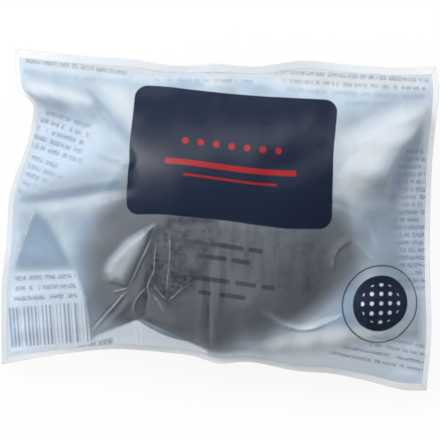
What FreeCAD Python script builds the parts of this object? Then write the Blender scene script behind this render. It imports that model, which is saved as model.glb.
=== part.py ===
import FreeCAD, Part
import math
import os

# A damp konjac sponge heat-sealed in a frosted clear pouch that lies on its back.
# Millimetres, +X to the pouch's right, +Y to its top edge, +Z up out of its front film.
# The origin is on the surface that it lies on, under the middle of the pouch's box.

# Sponge: a half dome with a flat base and a rounded rim, squeezed wider by the pouch
sponge_diameter = 69.0
sponge_spread = 14.0
sponge_height = 32.0
sponge_rim_round = 7.0
sponge_shoulder_round = 18.0
sponge_travel = 8.0

# Room that the pouch leaves round the sponge, out to the pouch's box
left_room = 30.5
right_room = 27.8
lower_room = 15.5
header_room = 26.1

# Film and heat seals
film_thickness = 0.15
top_seal_width = 3.0
bottom_seal_width = 2.2
side_weld_width = 1.8

# Clearances: sponge above the back film, front film above the sponge
seat_clearance = 0.3
crown_clearance = 1.2

# Height of the middle of the seam above the surface, and how it waves
corner_lift = 4.5
side_lift = 8.5
top_lift = 9.0
bottom_lift = 11.0
seam_wave = 1.0
flap_lift = 3.0

# Where the back film leaves the surface: in from the pouch's box, and in under the sponge's rim
side_turn_up = 22.0
header_turn_up = 19.0
under_rim = 2.0

# Where the damp front film is drawn down on to the sponge: its middle from the sponge's, and its half sizes
drape_right = 5.0
drape_down = 13.0
drape_half_width = 36.0
drape_half_height = 23.0
drape_fade_share = 0.3

# Main folds of the front film: rise or depth, and reach to the left and right of each line as it runs
notch_fold_rise = 2.2
notch_fold_left_reach = 4.5
notch_fold_right_reach = 7.0
roll_fold_rise = 1.7
roll_fold_left_reach = 9.0
roll_fold_right_reach = 4.0
waist_fold_rise = 1.6
waist_fold_left_reach = 9.0
waist_fold_right_reach = 6.0
corner_fan_rise = 4.8
corner_fan_left_reach = 4.5
corner_fan_right_reach = 19.0
fan_hollow_depth = 1.9
fan_hollow_left_reach = 4.6
fan_hollow_right_reach = 6.0
lobe_rise = 2.4
lobe_left_reach = 4.5
lobe_right_reach = 4.5
fold_round = 0.8
fold_taper_share = 0.25

# Their lines, as shares of the pouch's box from its lower left corner
notch_fold_shares = [(0.03, 0.90), (0.09, 0.88), (0.14, 0.85), (0.19, 0.82), (0.22, 0.77)]
roll_fold_shares = [(0.10, 0.94), (0.14, 0.92), (0.19, 0.88), (0.23, 0.83), (0.26, 0.78), (0.29, 0.72)]
waist_fold_shares = [(0.03, 0.57), (0.12, 0.61), (0.22, 0.64), (0.31, 0.67)]
corner_fan_shares = [(0.99, 0.83), (0.94, 0.75), (0.90, 0.69), (0.88, 0.63), (0.87, 0.55)]
fan_hollow_shares = [(0.99, 0.86), (0.91, 0.83), (0.85, 0.80), (0.77, 0.75)]
lobe_shares = [(0.34, 0.46), (0.30, 0.39), (0.26, 0.34)]

# Exponents of the front film's sections: high ones stay level longer and fall nearer the seam
side_power = 2.2
header_power = 2.5
lower_power = 4.0
edge_fade_power = 3

# Waves along the seam, in half waves per edge, and the flap fold's place and spread
end_wave_count = 5
side_wave_count = 3
flap_place_share = 0.86
flap_length_share = 0.045
flap_reach_share = 0.14

# Lines of the net whose cells the films are creased into, from edge to edge
across_net_shares = [
    0.000, 0.050, 0.100, 0.145, 0.190, 0.230, 0.265, 0.300, 0.345, 0.400, 0.460,
    0.530, 0.600, 0.670, 0.730, 0.780, 0.825, 0.865, 0.900, 0.935, 0.968, 1.000]
up_net_shares = [
    0.000, 0.035, 0.080, 0.140, 0.210, 0.280, 0.345, 0.400, 0.460, 0.530, 0.580,
    0.620, 0.660, 0.700, 0.745, 0.785, 0.820, 0.850, 0.880, 0.915, 0.955, 1.000]

# Net on which the taut film settles over the sponge, and how many rounds it settles for
settle_across_count = 45
settle_up_count = 37
settle_rounds = 700

# Chords that stand for the rim, shoulder and crown arcs of the sponge
rim_chords = 4
shoulder_chords = 6
crown_chords = 4

# The pouch's outline as it lies: place along each edge, and how far it is drawn in from the box
top_edge_shares = [
    (0.000, 0.000), (0.088, 0.012), (0.175, 0.022), (0.258, 0.029), (0.315, 0.036),
    (0.363, 0.047), (0.429, 0.051), (0.486, 0.047), (0.569, 0.054), (0.635, 0.045),
    (0.690, 0.036), (0.751, 0.042), (0.827, 0.051), (0.912, 0.057), (1.000, 0.052)]
bottom_edge_shares = [
    (0.000, 0.076), (0.088, 0.098), (0.177, 0.114), (0.248, 0.122), (0.316, 0.120),
    (0.389, 0.112), (0.455, 0.099), (0.502, 0.082), (0.545, 0.086), (0.600, 0.081),
    (0.678, 0.060), (0.765, 0.051), (0.821, 0.038), (0.883, 0.020), (0.937, 0.004), (1.000, 0.000)]
left_edge_shares = [
    (0.000, 0.000), (0.205, 0.001), (0.300, 0.003), (0.397, 0.011), (0.521, 0.016),
    (0.584, 0.023), (0.628, 0.034), (0.691, 0.053), (0.760, 0.068), (0.811, 0.075),
    (0.838, 0.073), (0.874, 0.043), (0.912, 0.034), (0.956, 0.031), (1.000, 0.032)]
right_edge_shares = [
    (0.000, 0.027), (0.065, 0.023), (0.157, 0.018), (0.280, 0.019), (0.434, 0.021),
    (0.557, 0.019), (0.674, 0.016), (0.772, 0.010), (0.858, 0.003), (0.908, 0.000),
    (0.969, 0.002), (1.000, 0.005)]

# Sizes that follow from the ones above
pouch_width = sponge_diameter + sponge_spread + left_room + right_room
pouch_height = sponge_diameter + lower_room + header_room
sponge_middle = FreeCAD.Vector((left_room - right_room) / 2, (lower_room - header_room) / 2, 0)
drape_middle = sponge_middle + FreeCAD.Vector(drape_right, -drape_down, 0)
sponge_radius = sponge_diameter / 2
sponge_seat = film_thickness + seat_clearance
film_crown = sponge_seat + sponge_height + crown_clearance
left_border = side_weld_width / pouch_width
right_border = 1 - side_weld_width / pouch_width
bottom_border = bottom_seal_width / pouch_height
top_border = 1 - top_seal_width / pouch_height
along_x = FreeCAD.Vector(1, 0, 0)
along_z = FreeCAD.Vector(0, 0, 1)

# Sponge's half section: flat base, rim arc, shoulder arc and a crown arc tangent to it on the axis
rim_level = sponge_seat + sponge_rim_round
dome_rise = sponge_height - sponge_rim_round
shoulder_reach = sponge_radius - sponge_shoulder_round
crown_radius = shoulder_reach ** 2 + dome_rise ** 2 - sponge_shoulder_round ** 2
crown_radius /= 2 * (dome_rise - sponge_shoulder_round)
crown_middle = FreeCAD.Vector(0, 0, rim_level + dome_rise - crown_radius)
shoulder_middle = FreeCAD.Vector(shoulder_reach, 0, rim_level)
rim_middle = FreeCAD.Vector(sponge_radius - sponge_rim_round, 0, rim_level)
lean = (shoulder_middle - crown_middle).normalize()
lean_angle = math.atan2(lean.z, lean.x)
crown_reach = crown_radius * math.cos(lean_angle)


def steps(first, last, count):
    return [first + (last - first) * index / (count - 1) for index in range(count)]


def smooth_step(first, last, value):
    share = min(max((value - first) / (last - first), 0), 1)
    return share * share * (3 - 2 * share)


def edge_curve(shares):
    curve = Part.BSplineCurve()
    points = [FreeCAD.Vector(place, inset, 0) for place, inset in shares]
    curve.interpolate(Points=points, Parameters=[place for place, inset in shares])
    return curve


top_curve = edge_curve(top_edge_shares)
bottom_curve = edge_curve(bottom_edge_shares)
left_curve = edge_curve(left_edge_shares)
right_curve = edge_curve(right_edge_shares)


# Middle of the seam, carried over the whole plan: across runs from left to right, up from bottom to top
def seam_level(across, up):
    side = 2 * across - 1
    rise = 2 * up - 1
    end_lift = bottom_lift + (top_lift - bottom_lift) * up
    level = corner_lift
    level += (side_lift - corner_lift) * side ** 2 * (1 - rise ** 2)
    level += (end_lift - corner_lift) * rise ** 2 * (1 - side ** 2)
    level += seam_wave * rise ** 2 * math.sin(math.pi * end_wave_count * across)
    level += seam_wave * side ** 2 * math.sin(math.pi * side_wave_count * up)
    fold = ((up - flap_place_share) / flap_length_share) ** 2 + (across / flap_reach_share) ** 2
    return level + flap_lift * math.exp(-fold)


# Each edge's drawn-in line fades away towards the opposite edge
def seam_point(across, up):
    from_left = left_curve.value(up).y * (1 - across) ** edge_fade_power
    from_right = right_curve.value(up).y * across ** edge_fade_power
    from_bottom = bottom_curve.value(across).y * (1 - up) ** edge_fade_power
    from_top = top_curve.value(across).y * up ** edge_fade_power
    x = pouch_width * (across - 0.5 + from_left - from_right)
    y = pouch_height * (up - 0.5 + from_bottom - from_top)
    return FreeCAD.Vector(x, y, seam_level(across, up))


# Full pouch: a pillow that rises from the seam to the crown
def pillow_level(across, up):
    side = 2 * (across - left_border) / (right_border - left_border) - 1
    rise = 2 * (up - bottom_border) / (top_border - bottom_border) - 1
    power = header_power if rise > 0 else lower_power
    fullness = (1 - abs(side) ** side_power) * (1 - abs(rise) ** power)
    return seam_level(across, up) + (film_crown - corner_lift) * fullness


# Lowest level of the film over the sponge, wherever the sponge is on its travel
def held_level(place):
    aside = max(abs(place.x - sponge_middle.x) - sponge_spread / 2, 0)
    beyond = place.y - sponge_middle.y
    if beyond > 0:
        beyond = max(beyond - sponge_travel, 0)
    away = math.hypot(aside, beyond)
    if away < crown_reach:
        return crown_middle.z + math.sqrt(crown_radius ** 2 - away ** 2) + crown_clearance
    if away < sponge_radius:
        level = rim_level + crown_clearance
        return level + math.sqrt(max(sponge_shoulder_round ** 2 - (away - shoulder_reach) ** 2, 0))
    return 0


# Taut film: held at the seam and laid over the sponge, each point settles to the mean of its neighbours
def settled_levels():
    across_places = steps(left_border, right_border, settle_across_count)
    up_places = steps(bottom_border, top_border, settle_up_count)
    held = [[held_level(seam_point(across, up)) for across in across_places] for up in up_places]
    levels = [[pillow_level(across, up) for across in across_places] for up in up_places]
    for settle_round in range(settle_rounds):
        last = [list(row) for row in levels]
        for row in range(1, settle_up_count - 1):
            for column in range(1, settle_across_count - 1):
                mean = last[row - 1][column] + last[row + 1][column]
                mean = (mean + last[row][column - 1] + last[row][column + 1]) / 4
                levels[row][column] = max(mean, held[row][column])
    return levels


taut_levels = settled_levels()


def taut_level(across, up):
    column = (across - left_border) / (right_border - left_border) * (settle_across_count - 1)
    row = (up - bottom_border) / (top_border - bottom_border) * (settle_up_count - 1)
    left = min(int(column), settle_across_count - 2)
    low = min(int(row), settle_up_count - 2)
    to_right = column - left
    to_high = row - low
    lower = taut_levels[low][left] * (1 - to_right) + taut_levels[low][left + 1] * to_right
    upper = taut_levels[low + 1][left] * (1 - to_right) + taut_levels[low + 1][left + 1] * to_right
    return lower * (1 - to_high) + upper * to_high


def from_shares(shares):
    return [FreeCAD.Vector(pouch_width * (x - 0.5), pouch_height * (y - 0.5), 0) for x, y in shares]


# A fold rises to a rounded ridge along its line, falls off evenly on each side and tapers to its ends
def fold_level(place, shares, rise, left_reach, right_reach):
    line = from_shares(shares)
    nearest = None
    for index, (start, end) in enumerate(zip(line[:-1], line[1:])):
        run = end - start
        offset = FreeCAD.Vector(place.x, place.y, 0) - start
        share = min(max(offset.dot(run) / run.dot(run), 0), 1)
        away = (offset - run * share).Length
        if nearest is None or away < nearest[0]:
            on_left = run.cross(offset).z > 0
            nearest = (away, (index + share) / (len(line) - 1), on_left)
    away, along, on_left = nearest
    reach = left_reach if on_left else right_reach
    fall = (math.hypot(away, fold_round) - fold_round) / reach
    taper = smooth_step(0, fold_taper_share, along) * smooth_step(0, fold_taper_share, 1 - along)
    return rise * max(1 - fall, 0) * taper


main_folds = [
    (notch_fold_shares, notch_fold_rise, notch_fold_left_reach, notch_fold_right_reach),
    (roll_fold_shares, roll_fold_rise, roll_fold_left_reach, roll_fold_right_reach),
    (waist_fold_shares, waist_fold_rise, waist_fold_left_reach, waist_fold_right_reach),
    (corner_fan_shares, corner_fan_rise, corner_fan_left_reach, corner_fan_right_reach),
    (fan_hollow_shares, -fan_hollow_depth, fan_hollow_left_reach, fan_hollow_right_reach),
    (lobe_shares, lobe_rise, lobe_left_reach, lobe_right_reach)]


def folds_level(place):
    return sum(fold_level(place, *fold) for fold in main_folds)


# Front film: a pillow that is drawn down on to the sponge where the film is damp, then folded
def front_point(across, up):
    point = seam_point(across, up)
    if across in (left_border, right_border) or up in (bottom_border, top_border):
        return point
    from_drape = point - drape_middle
    away = math.hypot(from_drape.x / drape_half_width, from_drape.y / drape_half_height)
    slack = smooth_step(1 - drape_fade_share, 1 + drape_fade_share, away)
    taut = taut_level(across, up)
    point.z = taut + (pillow_level(across, up) - taut) * slack + folds_level(point)
    point.z = max(point.z, held_level(point))
    return point


def between(first, last, shares):
    return [first + (last - first) * share for share in shares]


def raised(points, height):
    return [point + along_z * height for point in points]


# The same net one film further up: square to the film inside, straight up along the seam
def thickened(rows):
    outer_rows = []
    for row_index, row in enumerate(rows):
        outer_row = []
        for column_index, point in enumerate(row):
            outward = along_z
            if 0 < row_index < len(rows) - 1 and 0 < column_index < len(row) - 1:
                along_row = row[column_index + 1] - row[column_index - 1]
                along_column = rows[row_index + 1][column_index] - rows[row_index - 1][column_index]
                outward = along_row.cross(along_column).normalize()
            outer_row.append(point + outward * film_thickness)
        outer_rows.append(outer_row)
    return outer_rows


def flat_face(*corners):
    return Part.Face(Part.makePolygon(list(corners) + [corners[0]]))


# Each cell of a net is creased along the diagonal that lies higher on the guiding net
def creased_faces(rows, guide_rows):
    faces = []
    for row in range(len(rows) - 1):
        for column in range(len(rows[row]) - 1):
            first, second = rows[row][column], rows[row][column + 1]
            third, fourth = rows[row + 1][column + 1], rows[row + 1][column]
            rising = guide_rows[row][column].z + guide_rows[row + 1][column + 1].z
            falling = guide_rows[row][column + 1].z + guide_rows[row + 1][column].z
            if rising > falling:
                faces.append(flat_face(first, second, third))
                faces.append(flat_face(first, third, fourth))
            else:
                faces.append(flat_face(first, second, fourth))
                faces.append(flat_face(second, third, fourth))
    return faces


# Upright walls between a line of points and the same line higher up
def wall_faces(low_points, high_points):
    faces = []
    for index in range(len(low_points) - 1):
        low_start, low_end = low_points[index:index + 2]
        high_start, high_end = high_points[index:index + 2]
        faces.append(flat_face(low_start, low_end, high_end, high_start))
    return faces


def closed_solid(faces):
    shell = Part.Shell(faces)
    shell.sewShape()
    solid = Part.Solid(shell)
    if solid.Volume < 0:
        solid.reverse()
    return solid


# Edges of a net in the order left, right, bottom, top
def net_edges(rows):
    return [[row[0] for row in rows], [row[-1] for row in rows], rows[0], rows[-1]]


film_across = between(left_border, right_border, across_net_shares)
film_up = between(bottom_border, top_border, up_net_shares)
front_rows = [[front_point(across, up) for across in film_across] for up in film_up]
outer_rows = thickened(front_rows)
seam_edges = net_edges(front_rows)
front_faces = creased_faces(front_rows, front_rows) + creased_faces(outer_rows, front_rows)
for inner_edge, outer_edge in zip(seam_edges, net_edges(outer_rows)):
    front_faces += wall_faces(inner_edge, outer_edge)
front_film = closed_solid(front_faces)

# Back film: flat where it lies on the surface, with four sides that turn up to the seam
base_left = side_turn_up - pouch_width / 2
base_right = pouch_width / 2 - side_turn_up
base_bottom = sponge_middle.y - sponge_radius + under_rim
base_top = pouch_height / 2 - header_turn_up
low_left = FreeCAD.Vector(base_left, base_bottom, 0)
low_right = FreeCAD.Vector(base_right, base_bottom, 0)
high_right = FreeCAD.Vector(base_right, base_top, 0)
high_left = FreeCAD.Vector(base_left, base_top, 0)
base_edges = [
    between(low_left, high_left, up_net_shares), between(low_right, high_right, up_net_shares),
    between(low_left, low_right, across_net_shares), between(high_left, high_right, across_net_shares)]
base_ring = base_edges[2] + base_edges[1][1:] + base_edges[3][-2::-1] + base_edges[0][-2:0:-1]
back_faces = [flat_face(*base_ring), flat_face(*raised(base_ring, film_thickness))]
for base_edge, seam_edge in zip(base_edges, seam_edges):
    turned_up = [raised(base_edge, film_thickness), seam_edge]
    outside = [base_edge, raised(seam_edge, -film_thickness)]
    back_faces += creased_faces(turned_up, turned_up) + creased_faces(outside, turned_up)
    back_faces += wall_faces(raised(seam_edge, -film_thickness), seam_edge)
back_film = closed_solid(back_faces)


# Fused band: both films in one, from the films' edge out to the pouch's outline, mitred at its ends
def seal_band(seam_edge, outline):
    rows = [seam_edge, outline]
    low_rows = [raised(row, -film_thickness) for row in rows]
    high_rows = [raised(row, film_thickness) for row in rows]
    faces = creased_faces(low_rows, rows) + creased_faces(high_rows, rows)
    for low_edge, high_edge in zip(net_edges(low_rows), net_edges(high_rows)):
        faces += wall_faces(low_edge, high_edge)
    return closed_solid(faces)


left_weld = seal_band(seam_edges[0], [seam_point(0, up) for up in up_net_shares])
right_weld = seal_band(seam_edges[1], [seam_point(1, up) for up in up_net_shares])
bottom_seal = seal_band(seam_edges[2], [seam_point(across, 0) for across in across_net_shares])
top_seal = seal_band(seam_edges[3], [seam_point(across, 1) for across in across_net_shares])


def arc_points(middle, radius, first_angle, last_angle, chords):
    points = []
    for angle in steps(first_angle, last_angle, chords + 1):
        points.append(middle + FreeCAD.Vector(radius * math.cos(angle), 0, radius * math.sin(angle)))
    return points


section_points = arc_points(rim_middle, sponge_rim_round, -math.pi / 2, 0, rim_chords)
section_points += arc_points(shoulder_middle, sponge_shoulder_round, 0, lean_angle, shoulder_chords)[1:]
section_points += arc_points(crown_middle, crown_radius, lean_angle, math.pi / 2, crown_chords)[1:]
half_section = flat_face(FreeCAD.Vector(0, 0, sponge_seat), *section_points)
half_section.rotate(FreeCAD.Vector(0, 0, 0), along_z, -90)
right_end = half_section.revolve(FreeCAD.Vector(0, 0, 0), along_z, 180)
left_end = right_end.copy()
left_end.rotate(FreeCAD.Vector(0, 0, 0), along_z, 180)
right_end.translate(along_x * sponge_spread / 2)
left_end.translate(-along_x * sponge_spread / 2)
near_half = half_section.copy()
near_half.translate(-along_x * sponge_spread / 2)
far_half = near_half.mirror(FreeCAD.Vector(0, 0, 0), FreeCAD.Vector(0, 1, 0))
middle = near_half.extrude(along_x * sponge_spread).fuse(far_half.extrude(along_x * sponge_spread))
sponge = right_end.fuse([left_end, middle]).removeSplitter()
sponge.translate(sponge_middle)

pieces = {
    "sponge": sponge,
    "front_film": front_film,
    "back_film": back_film,
    "top_seal": top_seal,
    "bottom_seal": bottom_seal,
    "left_weld": left_weld,
    "right_weld": right_weld}

# The middle of the box goes over the origin
box = Part.makeCompound(list(pieces.values())).optimalBoundingBox(False, False)
centring = FreeCAD.Vector(-box.Center.x, -box.Center.y, 0)
os.makedirs("parts", exist_ok=True)
for name, piece in pieces.items():
    piece.translate(centring)
    solid = piece.Solids[0]
    solid.exportStep("parts/" + name + ".step")
    print(name, "volume", round(solid.Volume, 2), "valid", solid.isValid(), "solids", len(piece.Solids))
print("box", [round(size, 2) for size in (box.XLength, box.YLength, box.ZLength)])
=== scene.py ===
import math
import bmesh
import bpy
import numpy as np
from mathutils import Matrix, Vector


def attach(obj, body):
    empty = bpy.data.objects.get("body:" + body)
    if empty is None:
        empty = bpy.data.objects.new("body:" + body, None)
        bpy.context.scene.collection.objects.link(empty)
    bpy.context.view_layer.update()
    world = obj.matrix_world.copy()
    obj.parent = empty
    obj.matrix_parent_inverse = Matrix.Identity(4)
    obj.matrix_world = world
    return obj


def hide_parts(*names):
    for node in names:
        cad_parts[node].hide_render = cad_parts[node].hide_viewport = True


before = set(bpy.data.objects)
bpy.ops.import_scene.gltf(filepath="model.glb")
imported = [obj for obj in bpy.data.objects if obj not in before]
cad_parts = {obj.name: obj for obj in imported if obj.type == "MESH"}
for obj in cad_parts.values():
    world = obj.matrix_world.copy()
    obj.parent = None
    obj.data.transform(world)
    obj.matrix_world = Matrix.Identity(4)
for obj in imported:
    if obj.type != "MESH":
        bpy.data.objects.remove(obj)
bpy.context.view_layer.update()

scene = bpy.context.scene
mm = 0.001

# Photo pixels to metres on the pouch: 3.1 px to the millimetre, middle of the pouch's box over the origin
photo = {"pixelsPerMetre": 3100.0, "middle": (220.0, 219.5)}
pixelsPerMm = photo["pixelsPerMetre"] * mm


def fromPhoto(points):
    spots = (np.array(points, float) - photo["middle"]) / photo["pixelsPerMetre"]
    spots[..., 1] *= -1
    return spots


def smooth(low, high, value):
    share = np.clip((value - low) / (high - low), 0, 1)
    return share * share * (3 - 2 * share)


# Natural cubic spline, used for the outline and for the folds' lines
def splineAt(places, values, wanted):
    places, values = np.array(places, float), np.array(values, float)
    steps, slopes = np.diff(places), np.diff(values) / np.diff(places)
    system = np.eye(len(places))
    bends = np.zeros(len(places))
    for index in range(1, len(places) - 1):
        before, after = steps[index - 1], steps[index]
        system[index, index - 1:index + 2] = before, 2 * (before + after), after
        bends[index] = 6 * (slopes[index] - slopes[index - 1])
    bends = np.linalg.solve(system, bends)
    index = np.clip(np.searchsorted(places, wanted) - 1, 0, len(places) - 2)
    step, start = steps[index], wanted - places[index]
    left, right = bends[index], bends[index + 1]
    tilt = slopes[index] - step * (2 * left + right) / 6
    return values[index] + start * (tilt + start * (left / 2 + start * (right - left) / (6 * step)))


# Pouch: the same sizes and outline as the solids have
pouch = {
    "width": 141.3 * mm, "height": 110.6 * mm, "film": 0.15 * mm,
    "topSeal": 3.0 * mm, "bottomSeal": 2.2 * mm, "sideWeld": 1.8 * mm,
    "crown": 33.65 * mm, "cornerLift": 4.5 * mm, "sideLift": 8.5 * mm,
    "topLift": 9.0 * mm, "bottomLift": 11.0 * mm, "seamWave": 1.0 * mm, "flapLift": 3.0 * mm,
    "flapPlace": 0.86, "flapLength": 0.045, "flapReach": 0.14,
    "endWaves": 5, "sideWaves": 3, "sidePower": 2.2, "headerPower": 2.5, "lowerPower": 4.0, "edgeFade": 3,
    "turnPower": 3, "turnRound": 2.4, "seamCatch": 0.96,
    "baseSide": 48.65 * mm, "baseLow": -37.7 * mm, "baseHigh": 36.4 * mm,
    "top": [
        (0, 0), (.088, .012), (.175, .022), (.258, .029), (.315, .036), (.363, .047), (.429, .051),
        (.486, .047), (.569, .054), (.635, .045), (.690, .036), (.751, .042), (.827, .051), (.912, .057),
        (1, .052)],
    "bottom": [
        (0, .076), (.088, .098), (.177, .114), (.248, .122), (.316, .120), (.389, .112), (.455, .099),
        (.502, .082), (.545, .086), (.600, .081), (.678, .060), (.765, .051), (.821, .038), (.883, .020),
        (.937, .004), (1, 0)],
    "left": [
        (0, 0), (.205, .001), (.300, .003), (.397, .011), (.521, .016), (.584, .023), (.628, .034),
        (.691, .053), (.760, .068), (.811, .075), (.838, .073), (.874, .043), (.912, .034), (.956, .031),
        (1, .032)],
    "right": [
        (0, .027), (.065, .023), (.157, .018), (.280, .019), (.434, .021), (.557, .019), (.674, .016),
        (.772, .010), (.858, .003), (.908, 0), (.969, .002), (1, .005)],
}
borders = {
    "left": pouch["sideWeld"] / pouch["width"], "right": 1 - pouch["sideWeld"] / pouch["width"],
    "bottom": pouch["bottomSeal"] / pouch["height"], "top": 1 - pouch["topSeal"] / pouch["height"]}


def edgeInset(edge, place):
    return splineAt(*zip(*pouch[edge]), place)


# Place on the plan: across runs from left to right and up from bottom to top, both 0 to 1
def plan(across, up):
    fade = pouch["edgeFade"]
    x = across - 0.5 + edgeInset("left", up) * (1 - across) ** fade - edgeInset("right", up) * across ** fade
    y = up - 0.5 + edgeInset("bottom", across) * (1 - up) ** fade - edgeInset("top", across) * up ** fade
    return x * pouch["width"], y * pouch["height"]


def seamLevel(across, up):
    side, rise, low = 2 * across - 1, 2 * up - 1, pouch["cornerLift"]
    ends = pouch["bottomLift"] + (pouch["topLift"] - pouch["bottomLift"]) * up
    level = low + (pouch["sideLift"] - low) * side ** 2 * (1 - rise ** 2)
    level = level + (ends - low) * rise ** 2 * (1 - side ** 2)
    level = level + pouch["seamWave"] * rise ** 2 * np.sin(math.pi * pouch["endWaves"] * across)
    level = level + pouch["seamWave"] * side ** 2 * np.sin(math.pi * pouch["sideWaves"] * up)
    fold = ((up - pouch["flapPlace"]) / pouch["flapLength"]) ** 2 + (across / pouch["flapReach"]) ** 2
    return level + pouch["flapLift"] * np.exp(-fold)


# How far in from the borders, -1 to 1 each way
def inside(across, up):
    side = 2 * (across - borders["left"]) / (borders["right"] - borders["left"]) - 1
    rise = 2 * (up - borders["bottom"]) / (borders["top"] - borders["bottom"]) - 1
    return side, rise


def seamDistance(across, up):
    side, rise = inside(across, up)
    return np.minimum((1 - np.abs(side)) * pouch["width"], (1 - np.abs(rise)) * pouch["height"]) / 2


def pillowLevel(across, up):
    side, rise = inside(across, up)
    power = np.where(rise > 0, pouch["headerPower"], pouch["lowerPower"])
    full = (1 - np.abs(side) ** pouch["sidePower"]) * (1 - np.abs(rise) ** power)
    return seamLevel(across, up) + (pouch["crown"] - pouch["cornerLift"]) * full


# Sponge's top as the solid has it, kept clear over the whole of its slide
sponge = {
    "x": 1.35 * mm, "y": -5.2 * mm, "radius": 34.5 * mm, "spread": 14.0 * mm, "slide": 8.0 * mm,
    "rimLevel": 7.45 * mm, "crown": 32.45 * mm, "shoulder": 18.0 * mm}


def spongeReach(x, y, slide):
    aside = np.maximum(np.abs(x - sponge["x"]) - sponge["spread"] / 2, 0)
    beyond = y - sponge["y"]
    return np.hypot(aside, np.where(beyond > 0, np.maximum(beyond - slide, 0), beyond))


def spongeTop(x, y):
    away = spongeReach(x, y, sponge["slide"])
    rise, shoulder = sponge["crown"] - sponge["rimLevel"], sponge["shoulder"]
    reach = sponge["radius"] - shoulder
    crownRadius = (reach ** 2 + rise ** 2 - shoulder ** 2) / (2 * (rise - shoulder))
    crownMiddle = sponge["crown"] - crownRadius
    meets = reach + shoulder * reach / math.hypot(reach, sponge["rimLevel"] - crownMiddle)
    crown = crownMiddle + np.sqrt(np.maximum(crownRadius ** 2 - away ** 2, 0))
    flank = sponge["rimLevel"] + np.sqrt(np.maximum(shoulder ** 2 - (away - reach) ** 2, 0))
    return np.where(away < meets, crown, np.where(away < sponge["radius"], flank, 0))


# Distance from a line of points, the share of the way along it, and whether the spot is on the line's left
def alongLine(x, y, points):
    starts, runs = points[:-1], np.diff(points, axis=0)
    lengths = np.hypot(*runs.T)
    before = np.concatenate([[0], np.cumsum(lengths)])
    nearest = np.full(x.shape, 1e9)
    along = np.zeros(x.shape)
    onLeft = np.zeros(x.shape, bool)
    for start, run, length, passed in zip(starts, runs, lengths, before):
        share = ((x - start[0]) * run[0] + (y - start[1]) * run[1]) / max(length ** 2, 1e-12)
        share = np.clip(share, 0, 1)
        away = np.hypot(x - start[0] - share * run[0], y - start[1] - share * run[1])
        closer = away < nearest
        along = np.where(closer, (passed + share * length) / before[-1], along)
        turned = run[0] * (y - start[1]) - run[1] * (x - start[0]) > 0
        onLeft = np.where(closer, turned, onLeft)
        nearest = np.minimum(away, nearest)
    return nearest, along, onLeft


def smoothLine(pixels):
    points = fromPhoto(pixels)
    if len(points) < 3:
        return points
    passed = np.concatenate([[0], np.cumsum(np.hypot(*np.diff(points, axis=0).T))])
    wanted = np.linspace(0, passed[-1], 8 * len(points))
    return np.column_stack([splineAt(passed, points[:, 0], wanted), splineAt(passed, points[:, 1], wanted)])


# Soft-edged share of the film that lies inside a ring of photo pixels
def softPatch(x, y, pixels, feather):
    ring = fromPhoto(pixels + pixels[:1])
    away = alongLine(x, y, ring)[0]
    within = np.zeros(x.shape, bool)
    for (startX, startY), (endX, endY) in zip(ring[:-1], ring[1:]):
        if startY != endY:
            crosses = (startY > y) != (endY > y)
            within ^= crosses & (x < startX + (y - startY) * (endX - startX) / (endY - startY))
    return smooth(-feather, feather, np.where(within, away, -away))


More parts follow.
